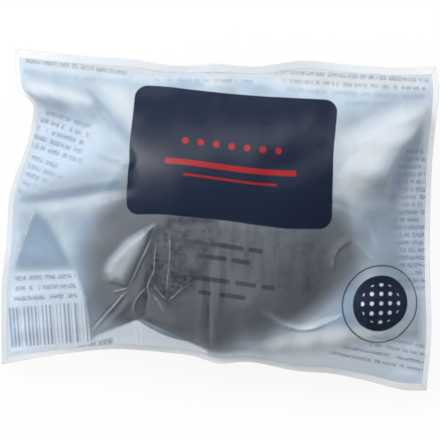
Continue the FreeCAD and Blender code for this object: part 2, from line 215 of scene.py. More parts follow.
# Folds of the front film: line in photo pixels, rise in mm, reach in mm to the left and right of the line
# as it runs, and the radius of its ridge in mm
folds = [
    # main folds, as the solid has them
    ([(16, 84), (40, 89), (64, 98), (84, 111), (98, 128)], 2.2, (4.5, 7.0), 2.0),
    ([(46, 70), (64, 77), (84, 89), (101, 106), (114, 123), (126, 143)], 1.7, (9.0, 4.0), 0.9),
    ([(14, 194), (54, 182), (97, 172), (138, 162)], 1.6, (9.0, 6.0), 1.8),
    ([(436, 106), (413, 134), (396, 156), (387, 176), (383, 203)], 4.8, (4.5, 19.0), 0.35),
    ([(434, 96), (400, 105), (372, 116), (340, 134)], -1.9, (4.6, 6.0), 1.2),
    # left: the pleat at the panel, the long crease and the flat triangle that hangs from it
    ([(96, 151), (118, 159), (137, 167)], 0.7, (3.5, 2.0), 0.4),
    ([(5, 202), (35, 202), (62, 199), (92, 195), (140, 188)], -0.9, (3.0, 3.0), 0.3),
    ([(38, 205), (27, 231), (14, 267)], 0.7, (2.0, 1.6), 0.14),
    ([(38, 205), (55, 233), (74, 267)], 0.8, (5.0, 2.4), 0.4),
    # left of the sponge: the star of creases at the foot of the lobe
    ([(154, 236), (142, 262), (131, 286)], 0.4, 0.5, 0.06),
    ([(152, 236), (140, 260), (129, 284)], -0.4, 0.5, 0.06),
    ([(150, 246), (140, 266), (132, 284)], 0.3, 0.45, 0.06),
    ([(131, 286), (123, 289), (114, 291)], 0.35, 0.6, 0.06),
    ([(131, 287), (112, 309), (90, 334)], 0.55, 0.7, 0.06),
    ([(129, 288.5), (110, 308.5), (88, 332)], -0.45, 0.5, 0.06),
    ([(126, 292), (116, 304), (104, 317)], 0.35, 0.5, 0.06),
    ([(135, 294), (117, 316), (98, 338)], 0.5, 1.6, 0.3),
    # over the sponge: where the damp film sticks and creases
    ([(159, 240), (156, 257), (155, 271), (149, 285), (150, 294), (146, 311)], 0.35, 0.45, 0.06),
    ([(162, 238), (159, 258), (158, 272), (153, 286)], -0.35, 0.7, 0.1),
    ([(149, 285), (137, 300), (135, 309), (140, 317)], 0.35, 0.45, 0.06),
    ([(170, 228), (171, 245), (170, 265), (168, 285), (168, 299)], 0.35, 0.45, 0.06),
    ([(154, 283), (161, 292), (168, 299)], 0.3, 0.45, 0.06),
    ([(168, 299), (177, 293), (184, 284)], 0.3, 0.45, 0.06),
    ([(154, 293), (160, 302), (166, 313)], 0.25, 0.5, 0.1),
    ([(181, 232), (179, 255), (176, 276)], 0.35, 1.4, 0.3),
    ([(196, 228), (197, 262), (193, 296)], 0.4, 2.4, 0.6),
    ([(212, 224), (211, 262), (209, 304), (209, 354)], -0.9, (1.2, 2.2), 0.1),
    ([(219, 230), (219, 270), (216, 318), (214, 354)], 0.7, (1.8, 3.0), 0.5),
    ([(203, 290), (203, 322), (203, 348)], 0.5, 2.2, 0.6),
    ([(176, 300), (180, 318), (188, 336)], -0.5, 3.0, 0.8),
    ([(240, 296), (248, 318), (250, 340)], 0.4, 3.4, 1.0),
    # lower right: the bright streak
    ([(264, 306), (275, 318), (290, 326), (306, 328), (322, 323), (340, 313)], 0.8, (1.6, 0.9), 0.08),
    ([(330, 337), (372, 335), (428, 329)], 0.7, 3.0, 0.8),
    # right: the small triangle of creases and the arc over the sponge's end
    ([(331, 272), (333, 253), (351, 238)], 0.5, (1.8, 0.9), 0.15),
    ([(351, 238), (362, 250), (378, 266)], 0.35, 0.9, 0.1),
    ([(318, 201), (340, 206), (357, 217), (367, 232), (374, 252)], -0.5, (1.6, 1.2), 0.2),
    # top right: the slope under the fan
    ([(428, 114), (392, 152), (358, 196)], 1.0, (6.0, 8.0), 1.5),
    # top and under the panel
    ([(162, 94), (200, 84), (242, 84)], 1.2, 6.0, 1.5),
    ([(203, 80), (218, 77), (234, 80)], 0.8, 2.6, 0.6),
    ([(337, 140), (312, 155), (285, 166), (252, 172)], -0.8, 6.0, 1.5),
    ([(150, 226), (190, 221), (232, 219), (262, 224), (302, 235)], -0.6, 2.4, 0.4),
    # bottom left: where the film drops off the sponge on to the back
    ([(90, 339), (114, 329), (137, 318)], -0.8, 1.6, 0.2),
    ([(143, 318), (170, 331), (206, 348)], -0.8, 1.6, 0.2),
    ([(137, 321), (137, 352)], 0.4, 0.6, 0.06),
    ([(142, 321), (142, 350)], 0.4, 0.6, 0.06),
]

# Lobe that stands off the sponge's left end: ring in photo pixels, then its rise, the width of its rounded
# edge and the feather of its ring in mm
lobe = {
    "ring": [(156, 225), (142, 230), (128, 239), (110, 258), (105, 272), (111, 282), (128, 287), (139, 265),
             (150, 242)],
    "rise": 2.1, "edge": 3.4, "feather": 0.4}

# Form of every fold: how its flank eases out at the foot, and the shares of its length where it fades at
# both ends. Sharp creases catch the light on their crest: the largest ridge that does, and its edges, in mm
foldForm = {
    "footEase": 0.02, "footDrop": 0.005, "gone": 2, "endFrom": -0.02, "endTo": 0.25,
    "sharpUnder": 0.16, "crestFadesAt": 0.36, "crestFullAt": 0.06}


def foldedBy(x, y):
    total = np.zeros(x.shape)
    crests = np.zeros(x.shape)
    for pixels, rise, reach, radius in folds:
        away, along, onLeft = alongLine(x, y, smoothLine(pixels))
        leftReach, rightReach = reach if isinstance(reach, tuple) else (reach, reach)
        flank = np.where(onLeft, leftReach, rightReach) * mm
        fall = (np.hypot(away, radius * mm) - radius * mm) / flank
        shape = (1 - fall + np.sqrt((1 - fall) ** 2 + foldForm["footEase"])) / 2 - foldForm["footDrop"]
        shape = np.where(fall > foldForm["gone"], 0, shape.clip(0))
        begun = smooth(foldForm["endFrom"], foldForm["endTo"], along)
        fade = begun * smooth(foldForm["endFrom"], foldForm["endTo"], 1 - along)
        total += rise * mm * shape * fade
        if radius < foldForm["sharpUnder"] and rise > 0:
            crest = smooth(foldForm["crestFadesAt"] * mm, foldForm["crestFullAt"] * mm, away)
            crests = np.maximum(crests, crest * fade)
    ring = fromPhoto(lobe["ring"] + lobe["ring"][:1])
    within = softPatch(x, y, lobe["ring"], lobe["feather"] * mm)
    share = np.clip(alongLine(x, y, ring)[0] / (lobe["edge"] * mm), 0, 1)
    return total + within * lobe["rise"] * mm * share * (2 - share), crests


# Both films, with lengths in mm: the net and the stretch where its lines are closer, the slow random swell
# and how far sticking and the panel calm it, the short puckers that every heat seal draws into the film,
# the gaps that the front keeps, the drift and turn of its print, and the net on which the taut form settles
film = {
    "columns": 340, "rows": 290, "denseAcross": (0.19, 0.50), "denseUp": (0.12, 0.50),
    "denseGain": 1.5, "denseEase": 0.03,
    "seed": 7, "swell": 0.28, "swellLengths": (9.0, 24.0), "swellCount": 26, "backSwell": 1.2,
    "stuckCalm": 0.7, "panelCalm": 0.8, "panelFeather": 4.0,
    "pucker": 0.45, "puckerReach": 5.5, "topPuckers": 23, "sidePuckers": 17, "puckerSway": 2.2,
    "topSway": 9, "sideSway": 8,
    "seamHold": 3.0, "spongeGap": 1.1, "foldGapShare": 0.7, "backGap": 0.25, "backGapReach": 1,
    "backLift": (0.5, 4.0), "printDrift": 0.9, "printTurn": -3.0,
    "tautColumns": 133, "tautRows": 109, "tautRounds": 6300}


# Lines of the film's net, closer together over one stretch
def netLines(first, last, count, dense):
    places = np.linspace(first, last, 2000)
    ease = film["denseEase"]
    begun = smooth(dense[0] - ease, dense[0] + ease, places)
    ended = smooth(dense[1] + ease, dense[1] - ease, places)
    pace = 1 + film["denseGain"] * begun * ended
    passed = np.concatenate([[0], np.cumsum((pace[1:] + pace[:-1]) / 2)])
    return np.interp(np.linspace(0, passed[-1], count), passed, places)


def filmNet():
    return np.meshgrid(
        netLines(borders["left"], borders["right"], film["columns"], film["denseAcross"]),
        netLines(borders["bottom"], borders["top"], film["rows"], film["denseUp"]))


def swellAt(x, y):
    chance = np.random.RandomState(film["seed"])
    total = np.zeros(x.shape)
    for wave in range(film["swellCount"]):
        heading, phase = chance.uniform(0, 2 * math.pi, 2)
        length = chance.uniform(*film["swellLengths"]) * mm
        total += np.sin(2 * math.pi * (x * math.cos(heading) + y * math.sin(heading)) / length + phase)
    return total * film["swell"] * mm / math.sqrt(film["swellCount"])


def puckerAt(across, up):
    side, rise = inside(across, up)
    fromSide = (1 - np.abs(side)) * pouch["width"] / 2 / (film["puckerReach"] * mm)
    fromEnd = (1 - np.abs(rise)) * pouch["height"] / 2 / (film["puckerReach"] * mm)
    sway = film["puckerSway"]
    endWave = np.sin(math.pi * film["topPuckers"] * across + sway * np.sin(film["topSway"] * across))
    sideWave = np.sin(math.pi * film["sidePuckers"] * up + sway * np.sin(film["sideSway"] * up))
    waves = endWave * fromEnd * np.exp(1 - fromEnd) + sideWave * fromSide * np.exp(1 - fromSide)
    return film["pucker"] * mm * waves


# Patches of the front film, each a ring in photo pixels, a share and a feather in mm: first the film that
# lies against the back film and turns clear
clearPatches = [
    ([(10, 50), (150, 66), (300, 66), (436, 70), (436, 92), (400, 98), (345, 112), (318, 104), (250, 88),
      (180, 82), (120, 86), (60, 70), (14, 66)], 0.33, 4.0),
    ([(14, 50), (150, 64), (300, 64), (436, 70), (436, 94), (300, 86), (150, 80), (14, 66)], 0.78, 2.0),
    ([(36, 106), (70, 116), (101, 128), (99, 150), (66, 172), (14, 193), (24, 158), (34, 128)], 0.85, 4.5),
    ([(0, 273), (77, 271), (86, 296), (92, 337), (88, 372), (0, 372)], 0.95, 1.0),
    ([(88, 339), (136, 319), (144, 319), (208, 350), (206, 366), (86, 372)], 0.9, 0.5),
    ([(420, 146), (440, 136), (440, 330), (416, 292), (400, 262), (398, 216), (408, 182)], 0.42, 2.6),
    ([(214, 354), (300, 350), (350, 345), (440, 340), (440, 396), (330, 380), (214, 366)], 0.65, 3.5),
    ([(0, 204), (20, 204), (10, 262), (0, 270)], 0.7, 3.0)]
# Damp film that sticks to the sponge
wetPatches = [
    ([(148, 230), (172, 218), (214, 214), (222, 232), (210, 262), (192, 290), (168, 300), (148, 284)],
     1.0, 3.0),
    ([(158, 238), (150, 264), (140, 290), (135, 306), (139, 318), (146, 314), (151, 292), (158, 270),
      (164, 242)],
     0.75, 0.8),
    ([(207.5, 236), (209.5, 236), (209.5, 352), (207.5, 352)], 0.7, 0.5),
    ([(210, 214), (262, 216), (318, 234), (332, 256), (326, 284), (300, 298), (262, 292), (212, 262)],
     0.38, 4.0)]
# Where the damp film is drawn down on to the sponge, as the solid has it
drape = {"x": 6.35 * mm, "y": -18.2 * mm, "halfWidth": 36.0 * mm, "halfHeight": 23.0 * mm, "fade": 0.3}

# Film that the printed panel keeps calm, and the flap that hangs from the sponge at the bottom left
calmPatch = [(126, 92), (334, 92), (334, 232), (126, 226)]
flapPatch = [(92, 337), (136, 319), (144, 319), (208, 350), (206, 366), (88, 372)]

# Ring inside which the sponge darkens the frosted film
shadePatch = [
    (150, 150), (116, 196), (98, 216), (88, 245), (84, 268), (86, 290), (100, 314), (138, 336), (170, 348),
    (206, 364), (240, 340), (272, 329), (300, 319), (330, 302), (348, 284), (362, 258), (356, 236),
    (340, 212), (322, 200), (300, 150)]

# Film that stands away from the sponge
liftedPatches = [
    ([(156, 225), (128, 240), (107, 264), (106, 276), (116, 283), (128, 284), (138, 264), (149, 244)],
     0.62, 1.5),
    ([(262, 310), (280, 326), (300, 331), (334, 320), (336, 310), (300, 323), (280, 318)], 0.4, 1.4)]
# Film over the deepest pockets of air and in the shade of folds, painted darker: partly thicker frost,
# partly painted shade
deepAndShadedPatches = [
    ([(158, 86), (192, 76), (203, 80), (204, 88), (180, 91), (150, 95)], 0.7, 2.0),
    ([(236, 79), (262, 84), (284, 97), (256, 95), (238, 89)], 0.7, 2.0),
    ([(37, 205), (24, 236), (13, 268), (74, 268), (62, 240)], 1.0, 1.8),
    ([(438, 114), (416, 132), (398, 154), (388, 176), (386, 216), (402, 190), (416, 160), (438, 142)],
     1.0, 2.4),
    ([(28, 98), (60, 106), (84, 118), (96, 136), (84, 128), (60, 116), (32, 106)], 1.0, 2.0),
    ([(88, 90), (106, 104), (124, 122), (140, 148), (133, 151), (115, 130), (97, 110)], 0.8, 2.0),
    ([(330, 262), (352, 262), (366, 300), (350, 330), (318, 332), (332, 300)], 1.0, 4.0),
    ([(72, 206), (122, 214), (112, 250), (104, 290), (88, 326), (80, 270)], 0.9, 5.0),
    ([(390, 208), (424, 202), (426, 290), (398, 284)], 0.9, 3.0),
    ([(360, 200), (388, 206), (420, 200), (424, 290), (392, 282), (372, 268), (352, 240)], 0.6, 5.0),
    ([(4, 198), (60, 192), (120, 180), (124, 189), (60, 202), (6, 206)], 0.9, 1.8)]
# Film that faces the light, painted paler as painted highlights
highlightPatches = [
    ([(16, 52), (150, 66), (300, 64), (434, 72), (434, 92), (330, 94), (280, 86), (240, 72), (200, 71),
      (150, 82), (60, 72), (16, 64)], 0.9, 2.0),
    ([(202, 77), (218, 73), (236, 78), (232, 86), (207, 86)], 1.0, 1.5),
    ([(434, 102), (398, 110), (340, 138), (334, 190), (352, 206), (384, 160), (424, 116)], 1.0, 4.0),
    ([(96, 84), (128, 88), (140, 100), (138, 130), (118, 112)], 0.8, 4.0),
    ([(24, 80), (44, 84), (66, 90), (92, 102), (82, 102), (60, 98), (40, 94), (24, 90)], 0.9, 2.0),
    ([(250, 344), (300, 334), (340, 326), (380, 332), (344, 344), (300, 349), (250, 352)], 1.0, 2.4),
    ([(20, 206), (80, 200), (130, 196), (118, 212), (80, 216)], 0.5, 4.0),
    ([(268, 310), (282, 321), (300, 327), (322, 323), (338, 313), (336, 317), (320, 327), (300, 331),
      (280, 326)],
     0.8, 0.6),
    ([(154, 226), (130, 240), (112, 260), (107, 274), (112, 280), (124, 276), (134, 258), (146, 240)],
     0.9, 1.6)]


def patchesAt(x, y, patches):
    total = np.zeros(x.shape)
    for pixels, share, feather in patches:
        total = np.maximum(total, share * softPatch(x, y, pixels, feather * mm))
    return total


# Back film: flat under the sponge, and turned up towards the seam on all four sides
def backLevel(across, up):
    x, y = plan(across, up)
    side = np.clip((np.abs(x) - pouch["baseSide"]) / (pouch["width"] / 2 - pouch["baseSide"]), 0, 1)
    low = np.clip((pouch["baseLow"] - y) / (pouch["baseLow"] + pouch["height"] / 2), 0, 1)
    high = np.clip((y - pouch["baseHigh"]) / (pouch["height"] / 2 - pouch["baseHigh"]), 0, 1)
    inSide, inRise = inside(across, up)
    nearSeam = np.maximum(np.abs(inSide), np.abs(inRise))
    power = pouch["turnPower"]
    lift = np.clip(side ** power + low ** power + high ** power, 0, 1) ** (1 / pouch["turnRound"])
    lift = np.maximum(lift, smooth(pouch["seamCatch"], 1.0, nearSeam))
    return (seamLevel(across, up) - pouch["film"]) * lift


def gridMesh(name, x, y, z, flip, shares):
    rows, columns = x.shape
    index = np.arange(rows * columns).reshape(rows, columns)
    corners = [index[:-1, :-1], index[:-1, 1:], index[1:, 1:], index[1:, :-1]]
    if flip:
        corners = corners[::-1]
    quads = np.stack([corner.ravel() for corner in corners], 1)
    mesh = bpy.data.meshes.new(name)
    mesh.from_pydata(np.stack([x.ravel(), y.ravel(), z.ravel()], 1).tolist(), [], quads.tolist())
    layer = mesh.uv_layers.new(name="film")
    loops = np.zeros(len(mesh.loops), int)
    mesh.loops.foreach_get("vertex_index", loops)
    layer.data.foreach_set("uv", np.stack([share.ravel()[loops] for share in shares], 1).ravel())
    mesh.shade_smooth()
    return mesh


def storeShare(mesh, name, values):
    mesh.attributes.new(name, "FLOAT", "POINT").data.foreach_set("value", values.ravel())


def addPiece(mesh, material):
    piece = bpy.data.objects.new(mesh.name, mesh)
    scene.collection.objects.link(piece)
    mesh.materials.clear()
    mesh.materials.append(material)
    return piece


# Turn a piece with modifiers into a plain mesh
def bake(piece):
    graph = bpy.context.evaluated_depsgraph_get()
    mesh = bpy.data.meshes.new_from_object(piece.evaluated_get(graph))
    mesh.name = piece.name
    piece.modifiers.clear()
    piece.data = mesh
    return piece


# One socket with operators, so that shader maths reads as Python
class Wire:
    def __init__(self, paint, socket):
        self.paint, self.socket = paint, socket

    def math(self, operation, first, second=0.0):
        node = self.paint.node("ShaderNodeMath", {"operation": operation}, {0: first, 1: second})
        return Wire(self.paint, node.outputs[0])

    def __add__(self, other):
        return self.math("ADD", self, other)

    def __radd__(self, other):
        return self.math("ADD", other, self)

    def __sub__(self, other):
        return self.math("SUBTRACT", self, other)

    def __rsub__(self, other):
        return self.math("SUBTRACT", other, self)

    def __mul__(self, other):
        return self.math("MULTIPLY", self, other)

    def __rmul__(self, other):
        return self.math("MULTIPLY", other, self)

    def __truediv__(self, other):
        return self.math("DIVIDE", self, other)

    def __pow__(self, other):
        return self.math("POWER", self, other)

    def __abs__(self):
        return self.math("ABSOLUTE", self)

    def over(self, other):
        return self.math("MAXIMUM", self, other)

    def under(self, other):
        return self.math("MINIMUM", self, other)

    def floor(self):
        return self.math("FLOOR", self)

    def part(self):
        return self.math("FRACT", self)

    def root(self):
        return self.math("SQRT", self)

    def held(self):
        node = self.paint.node("ShaderNodeClamp", {}, {"Value": self})
        return Wire(self.paint, node.outputs[0])


# A material under construction
class Paint:
    def __init__(self, name):
        self.material = bpy.data.materials.new(name)
        self.material.use_nodes = True
        self.tree = self.material.node_tree
        self.tree.nodes.clear()

    def node(self, kind, settings, sockets):
        node = self.tree.nodes.new(kind)
        for name, value in settings.items():
            setattr(node, name, value)
        for name, value in sockets.items():
            if isinstance(value, Wire):
                self.tree.links.new(value.socket, node.inputs[name])
            else:
                node.inputs[name].default_value = value
        return node

    def wire(self, kind, settings, sockets, output=0):
        return Wire(self, self.node(kind, settings, sockets).outputs[output])

    def share(self, name):
        return self.wire("ShaderNodeAttribute", {"attribute_name": name}, {}, "Fac")

    def split(self, vector):
        node = self.node("ShaderNodeSeparateXYZ", {}, {0: vector})
        return [Wire(self, output) for output in node.outputs]

    def join(self, x, y, z=0.0):
        return self.wire("ShaderNodeCombineXYZ", {}, {0: x, 1: y, 2: z})

    def grain(self, vector, scale, detail=3.0, rough=0.5):
        sockets = {"Vector": vector, "Scale": scale, "Detail": detail, "Roughness": rough}
        return self.wire("ShaderNodeTexNoise", {}, sockets, "Fac")

    def flatGrain(self, x, y, detail):
        sockets = {"Vector": self.join(x, y), "Scale": 1.0, "Detail": detail}
        return self.wire("ShaderNodeTexNoise", {"noise_dimensions": "2D"}, sockets)

    def chance(self, number):
        return self.wire("ShaderNodeTexWhiteNoise", {"noise_dimensions": "1D"}, {"W": number})

    def blend(self, share, first, second):
        settings = {"data_type": "RGBA", "blend_type": "MIX"}
        return self.wire("ShaderNodeMix", settings, {0: share, 6: first, 7: second}, 2)

    def bump(self, height, strength, distance):
        sockets = {"Height": height, "Strength": strength, "Distance": distance}
        return self.wire("ShaderNodeBump", {}, sockets)

    def finish(self, sockets):
        surface = self.node("ShaderNodeBsdfPrincipled", {}, sockets)
        self.node("ShaderNodeOutputMaterial", {}, {0: Wire(self, surface.outputs[0])})
        return self.material


def rgb(red, green, blue):
    def linear(value):
        value = value / 255
        return value / 12.92 if value <= 0.04045 else ((value + 0.055) / 1.055) ** 2.4
    return linear(red), linear(green), linear(blue), 1.0


# Shares of the surface inside printed shapes; x, y and all sizes are in millimetres
def inkBox(x, y, middle, half, corner, edge):
    aside = abs(x - middle[0]) - (half[0] - corner)
    above = abs(y - middle[1]) - (half[1] - corner)
    outside = (aside.over(0.0) ** 2.0 + above.over(0.0) ** 2.0).root()
    away = outside + aside.over(above).under(0.0) - corner
    return (0.5 - away / edge).held()


def inkRing(x, y, middle, radius, width, edge):
    away = ((x - middle[0]) ** 2.0 + (y - middle[1]) ** 2.0).root() - radius
    if width:
        away = abs(away) - width / 2
    return (0.5 - away / edge).held()


# How far along a line between two photo pixels, how far down from it, and its length, in millimetres
def rowPlace(x, y, block):
    start, end = fromPhoto([block["start"], block["end"]]) / mm
    length = math.hypot(*(end - start))
    turnX, turnY = [float(value) for value in (end - start) / length]
    aside, above = x - float(start[0]), y - float(start[1])
    return aside * turnX + above * turnY, aside * turnY - above * turnX, length


# Rows of plain dashes: ends of the first row in photo pixels, number of rows and their pitch, the line's
# share of the pitch, and how ragged the rows' ends are
def inkRows(paint, x, y, block, number):
    run, down, length = rowPlace(x, y, block)
    pitch = block["pitch"] / pixelsPerMm
    row = (down / pitch).floor()
    ragged = paint.chance(row + 17.3 * number)
    dashes = paint.flatGrain(run * 0.75, row * 3.7 + 11.0 * number, 1.0)
    gaps = paint.flatGrain(run * 2.2, down * 2.0 + row * 5.1 + 3.0 * number, 0.0)
    line = (0.5 - (abs((down / pitch).part() - 0.5) - block["thick"] / 2) * 9.0).held()
    strokes = ((dashes - 0.36) * 14.0).held() * (0.45 + ((gaps - 0.38) * 6.0).held() * 0.55)
    last = length * (1.0 - ragged * block["ragged"])
    span = (run * 4.0).held() * ((last - run) * 4.0).held()
    band = (0.5 + down * 50.0).held() * (0.5 + (block["rows"] * pitch - down) * 50.0).held()
    return line * strokes * span * band


# Colours matched to the photo, in 0-255
# Some of these colours stand for light: the deeper frost also paints the folds' shade, the paler frost and
# the crease colour paint highlights, and the darkest charcoal also paints the shade in the sponge's pores
tones = {
    "frost": rgb(160, 175, 188), "frostDeepAndShade": rgb(123, 145, 166), "frostHighlight": rgb(192, 200, 207),
    "haze": rgb(106, 111, 119), "crease": rgb(172, 178, 186), "clear": rgb(182, 210, 238),
    "navy": rgb(23, 33, 54), "red": rgb(150, 28, 32), "pale": rgb(205, 214, 222),
    "ink": rgb(82, 108, 136), "bar": rgb(86, 116, 152), "white": rgb(226, 238, 250),
    "veil": rgb(138, 186, 232), "seal": rgb(238, 242, 246),
    "charcoal": rgb(100, 105, 113), "charcoalAndPoreShade": rgb(38, 39, 43), "charcoalPale": rgb(136, 141, 150)}

# Front print in millimetres on the film: a plain panel with a row of dots and two rules, a roundel with a
# grid of dots and a ring round it, and dashes, whose left end, right end and level are photo pixels
frontPrint = {
    "panelMiddle": (3.2, 20.0), "panelHalf": (32.5, 20.6), "panelCorner": 4.0,
    "ruleMiddle": (3.2, 16.5), "ruleHalf": (21.0, 0.9), "ruleCorner": 0.4,
    "thinRule": (3.2, 12.6), "thinHalf": (15.0, 0.35), "thinCorner": 0.1,
    "dotRow": (3.2, 23.5), "dotRowHalf": 17.6, "dotPitch": 5.0, "dotRadius": 1.2,
    "roundel": (51.8, -24.6), "roundelRadius": 9.0, "ringRadius": 12.2, "ringWidth": 0.5,
    "gridRadius": 6.4, "gridPitch": 3.0, "gridDotShare": 0.27,
    "edge": 0.25, "broadEdge": 0.3, "dashHalf": 0.75, "dashCornerShare": 0.9,
    "dashes": [
        (186, 206, 246), (211, 245, 246), (250, 264, 246), (198, 228, 259), (233, 252, 259),
        (172, 190, 281), (195, 232, 281), (237, 258, 281), (263, 276, 281),
        (200, 216, 295), (221, 248, 295)]}

# Front film's finish: how much it hides, what clear and wet film let through, its gloss and its crinkles
filmLook = {
    "cover": 0.93, "shadeCover": 0.06, "clearing": 0.6, "wetting": 0.7, "roughness": 0.42,
    "panelRoughness": 0.32, "specular": 0.22, "crinkleScale": 95.0, "crinkle": 0.85}


# Shares of the panel, of all dark ink, of red ink and of pale dots
def frontInk(x, y):
    edge, broadEdge = frontPrint["edge"], frontPrint["broadEdge"]
    panelForm = (frontPrint["panelMiddle"], frontPrint["panelHalf"], frontPrint["panelCorner"])
    panel = inkBox(x, y, *panelForm, broadEdge)
    rule = inkBox(x, y, frontPrint["ruleMiddle"], frontPrint["ruleHalf"], frontPrint["ruleCorner"], edge)
    thin = inkBox(x, y, frontPrint["thinRule"], frontPrint["thinHalf"], frontPrint["thinCorner"], edge)
    roundel, pitch = frontPrint["roundel"], frontPrint["gridPitch"]
    disc = inkRing(x, y, roundel, frontPrint["roundelRadius"], 0.0, broadEdge)
    gridX = ((x - roundel[0]) / pitch + 0.5).part() - 0.5
    gridY = ((y - roundel[1]) / pitch + 0.5).part() - 0.5
    dots = ((frontPrint["gridDotShare"] - (gridX ** 2.0 + gridY ** 2.0).root()) * 9.0).held()
    dots = dots * inkRing(x, y, roundel, frontPrint["gridRadius"], 0.0, broadEdge)
    ring = inkRing(x, y, roundel, frontPrint["ringRadius"], frontPrint["ringWidth"], edge)
    fromDot, aboveDot = x - frontPrint["dotRow"][0], y - frontPrint["dotRow"][1]
    bead = ((fromDot / frontPrint["dotPitch"] + 0.5).part() - 0.5) * frontPrint["dotPitch"]
    beads = ((frontPrint["dotRadius"] - (bead ** 2.0 + aboveDot ** 2.0).root()) * 4.0).held()
    beads = beads * ((frontPrint["dotRowHalf"] - abs(fromDot)) * 9.0).held()
    dashes = None
    for left, right, level in frontPrint["dashes"]:
        middle = [float(value) for value in fromPhoto([(left + right) / 2, level]) / mm]
        half = ((right - left) / (2 * pixelsPerMm), frontPrint["dashHalf"])
        part = inkBox(x, y, middle, half, frontPrint["dashHalf"] * frontPrint["dashCornerShare"], edge)
        dashes = part if dashes is None else dashes.over(part)
    dark = panel.over(disc).over(ring * 0.9).over(dashes * 0.6)
    return panel, dark, rule.over(thin).over(beads), dots


def frontFilmMaterial():
    paint = Paint("frostedFrontFilm")
    placed = paint.wire("ShaderNodeAttribute", {"attribute_name": "printPlace"}, {}, "Vector")
    x, y = paint.split(placed)[:2]
    x, y = x / mm, y / mm
    spot = paint.wire("ShaderNodeTexCoord", {}, {}, "Object")
    clear, wet, shade = paint.share("clear"), paint.share("wet"), paint.share("shade")
    deepAndShade, pale, crest = paint.share("deepAndShade"), paint.share("pale"), paint.share("crest")
    cloud = paint.grain(spot, 70.0, 3.0)
    speck = paint.grain(spot, 900.0, 2.0)
    panel, dark, red, dots = frontInk(x, y)
    # Random cloud of thicker frost, and painted shade in the folds and over pockets of air
    tint = paint.blend((((cloud - 0.4) * 2.0).held() * 0.4).over(deepAndShade), tones["frost"], tones["frostDeepAndShade"])
    # Painted highlights: film that faces the light and the crests of sharp creases are painted paler, broken
    # along their length
    broken = 0.3 + ((paint.grain(spot, 330.0, 2.0) - 0.4) * 4.0).held() * 0.7
    tint = paint.blend(pale.over(crest * broken * 0.8), tint, tones["frostHighlight"])
    tint = paint.blend(shade, tint, tones["haze"])
    coarse = paint.grain(spot, 120.0, 2.0) - 0.5
    fine = paint.grain(spot, 420.0, 3.0, 0.6) - 0.5
    blotch = ((fine + coarse * 0.9) * 4.0).held()
    # Sponge seen through the damp film, mottled towards the darkest charcoal, the colour that also paints
    # shade in the sponge's pores
    tint = paint.blend(wet * (0.26 + blotch * 0.64), tint, tones["charcoalAndPoreShade"])
    # Painted highlight: the crests of creases over the sponge are painted lighter
    tint = paint.blend(crest * broken * shade * 0.58, tint, tones["crease"])
    tint = paint.blend(clear * (1.0 - pale), tint, tones["clear"])
    tint = paint.blend(dark, tint, tones["navy"])
    tint = paint.blend(red, tint, tones["red"])
    tint = paint.blend(dots, tint, tones["pale"])
    fleck = paint.grain(spot, 560.0, 3.0)
    smear = paint.grain(paint.join(x * 0.30, y * 0.05), 1.0, 2.0)
    streaks = ((wet + (cloud - 0.5) * 0.5 + (smear - 0.5) * 1.1 - 0.32) * 1.3).held()
    streaks = streaks * (1.0 - ((fleck - 0.52) * 6.0).held() * 0.25)
    cover = (filmLook["cover"] + shade * filmLook["shadeCover"] - clear * filmLook["clearing"]).held()
    cover = cover * (1.0 - streaks * filmLook["wetting"])
    cover = cover.over(dark)
    rough = (filmLook["roughness"] + (cloud - 0.5) * 0.1 - clear * 0.1) * (1.0 - shade * 0.25)
    rough = rough * (1.0 - panel) + panel * filmLook["panelRoughness"]
    crinkle = abs(paint.grain(spot, filmLook["crinkleScale"], 2.0, 0.45) - 0.5)
    crinkle = crinkle * (1.0 - panel * 0.8) * (1.0 - shade * 0.6) * filmLook["crinkle"]
    normal = paint.bump(crinkle + speck * (1.0 - clear * 0.9) * 0.012 + cloud * 0.006, 0.6, 0.0022)
    return paint.finish({
        "Base Color": tint, "Roughness": rough, "Alpha": cover, "Normal": normal,
        "IOR": 1.5, "Specular IOR Level": filmLook["specular"]})


# Back print: rows of dashes and a block of uneven stripes in photo pixels, then the stripes' half width and
# the pale box behind them in millimetres
backPrint = {
    "rows": [
        {"start": (24, 54), "end": (152, 70), "rows": 2, "pitch": 11, "thick": 0.46, "ragged": 0.3},
        {"start": (154, 66), "end": (296, 68), "rows": 2, "pitch": 9, "thick": 0.46, "ragged": 0.3},
        {"start": (284, 67), "end": (431, 76), "rows": 3, "pitch": 8.6, "thick": 0.5, "ragged": 0.05},
        {"start": (346, 98), "end": (402, 99), "rows": 1, "pitch": 8.6, "thick": 0.5, "ragged": 0.05},
        {"start": (44, 106), "end": (98, 124), "rows": 5, "pitch": 9.0, "thick": 0.55, "ragged": 0.15},
        {"start": (32, 152), "end": (74, 168), "rows": 5, "pitch": 9.0, "thick": 0.55, "ragged": 0.4},
        {"start": (426, 292), "end": (390, 292), "rows": 19, "pitch": 7.6, "thick": 0.62, "ragged": 0.3},
        {"start": (424, 375), "end": (318, 355), "rows": 4, "pitch": 8.0, "thick": 0.42, "ragged": 0.6},
        {"start": (12, 274), "end": (80, 271), "rows": 3, "pitch": 10, "thick": 0.5, "ragged": 0.15},
        {"start": (50, 350), "end": (114, 335), "rows": 1, "pitch": 11.0, "thick": 0.5, "ragged": 0.1}],
    "stripes": {"start": (8, 308), "end": (92, 302), "height": 40, "pitch": 3.6, "halfWidth": 13.5},
    "paleBox": {"middle": (-56.5, -31.0), "half": (13.5, 13.8)}}


